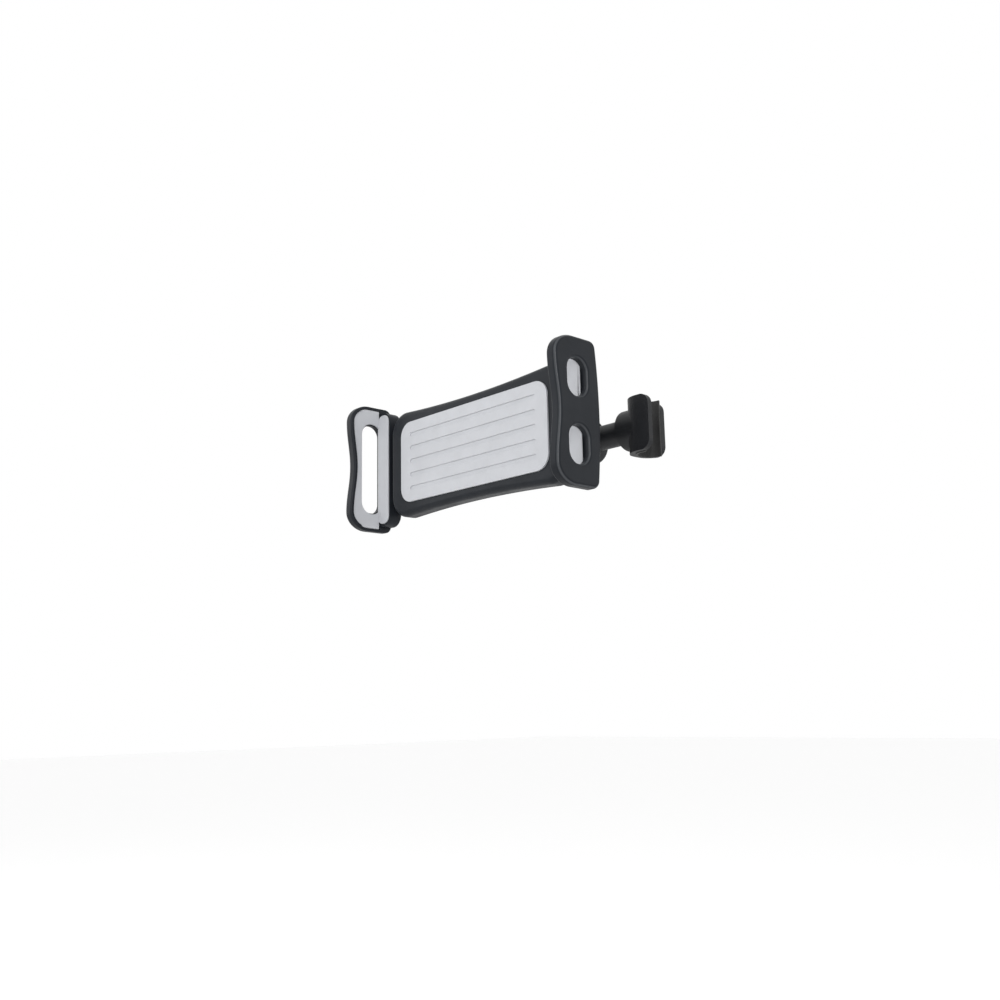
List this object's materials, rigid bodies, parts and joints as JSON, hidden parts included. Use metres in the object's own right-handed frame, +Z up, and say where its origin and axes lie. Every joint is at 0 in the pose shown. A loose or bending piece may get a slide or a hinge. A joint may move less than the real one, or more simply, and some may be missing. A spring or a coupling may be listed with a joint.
{
  "type": "phone and tablet holder",
  "caption": "Headrest holder: telescopic bar with two post hooks, ball joint, and a cradle whose sprung jaws grip a phone or tablet.",
  "frame": {"origin": "on the axis of the clamp bar, midway between the axes of the two headrest posts", "axes": "+X along the clamp bar towards the sliding hook, +Y away from the viewer of the device towards the front of the car, +Z up along the posts"},
  "size_m": [0.179, 0.0745, 0.07],
  "materials": {
    "cradle_plastic": "satin moulded, dark grey",
    "clamp_plastic": "matt moulded, near black",
    "silicone": "matt, pale grey",
    "liner_rubber": "matt black",
    "nylon": "satin, natural",
    "arm_nylon": "satin, dark grey",
    "steel": "plain zinc",
    "spring_steel": "drawn wire"
  },
  "bodies": {
    "clamp": {"outer_tube": "clamp_plastic", "tube_collet": "nylon", "ball_stud": "clamp_plastic", "left_hook": "clamp_plastic", "left_hook_liner": "liner_rubber", "left_hook_screw": "steel"},
    "rod": {"sliding_rod": "clamp_plastic", "right_hook": "clamp_plastic", "right_hook_liner": "liner_rubber", "right_hook_screw": "steel"},
    "collar": {"lock_collar": "clamp_plastic"},
    "seat": {"ball_seat": "nylon"},
    "socket": {"ball_socket": "clamp_plastic"},
    "nut": {"lock_nut": "clamp_plastic"},
    "cradle": {"front_housing": "cradle_plastic", "rear_cover": "cradle_plastic", "grip_pad": "silicone", "cover_screws": "steel", "socket_retainer": "steel", "retainer_screws": "steel", "pinion_axle": "steel", "left_spring": "spring_steel", "right_spring": "spring_steel"},
    "gear": {"pinion": "nylon"},
    "left_slider": {"left_arm": "arm_nylon", "left_jaw": "cradle_plastic", "left_jaw_pad": "silicone", "left_jaw_screws": "steel"},
    "right_slider": {"right_arm": "arm_nylon", "right_jaw": "cradle_plastic", "right_jaw_pad": "silicone", "right_jaw_screws": "steel"}
  },
  "joints": [
    {"name": "rod_slide", "type": "slide", "parent": "clamp", "child": "rod", "axis": [1, 0, 0], "range_m": [-0.02, 0.016]},
    {"name": "collar_turn", "type": "hinge", "parent": "clamp", "child": "collar", "pos_m": [0.0335, 0, 0], "axis": [1, 0, 0], "range_deg": [-90, 0]},
    {"name": "ball_tilt", "type": "hinge", "parent": "clamp", "child": "seat", "pos_m": [0, -0.0225, 0], "axis": [1, 0, 0], "range_deg": [-20, 20]},
    {"name": "ball_swivel", "type": "hinge", "parent": "seat", "child": "socket", "pos_m": [0, -0.0225, 0], "axis": [0, 0, 1], "range_deg": [-10, 10]},
    {"name": "nut_turn", "type": "hinge", "parent": "socket", "child": "nut", "pos_m": [0, -0.0225, 0], "axis": [0, 1, 0], "range_deg": [0, 90]},
    {"name": "cradle_spin", "type": "hinge", "parent": "socket", "child": "cradle", "pos_m": [0, -0.0225, 0], "axis": [0, 1, 0], "continuous": true},
    {"name": "left_jaw_slide", "type": "slide", "parent": "cradle", "child": "left_slider", "axis": [-1, 0, 0], "range_m": [0, 0.044], "stiffness_N_per_m": 150, "springref_m": -0.02, "deforming": ["left_spring"]},
    {"name": "right_jaw_slide", "type": "slide", "parent": "cradle", "child": "right_slider", "axis": [1, 0, 0], "range_m": [0, 0.044], "deforming": ["right_spring"]},
    {"name": "pinion_turn", "type": "hinge", "parent": "cradle", "child": "gear", "pos_m": [0, -0.039, 0], "axis": [0, -1, 0], "range_deg": [0, 526]}
  ],
  "couplings": [
    {"joint": "right_jaw_slide", "follows": "left_jaw_slide", "ratio": 1},
    {"joint": "pinion_turn", "follows": "left_jaw_slide", "rad_per_m": 208.33}
  ]
}
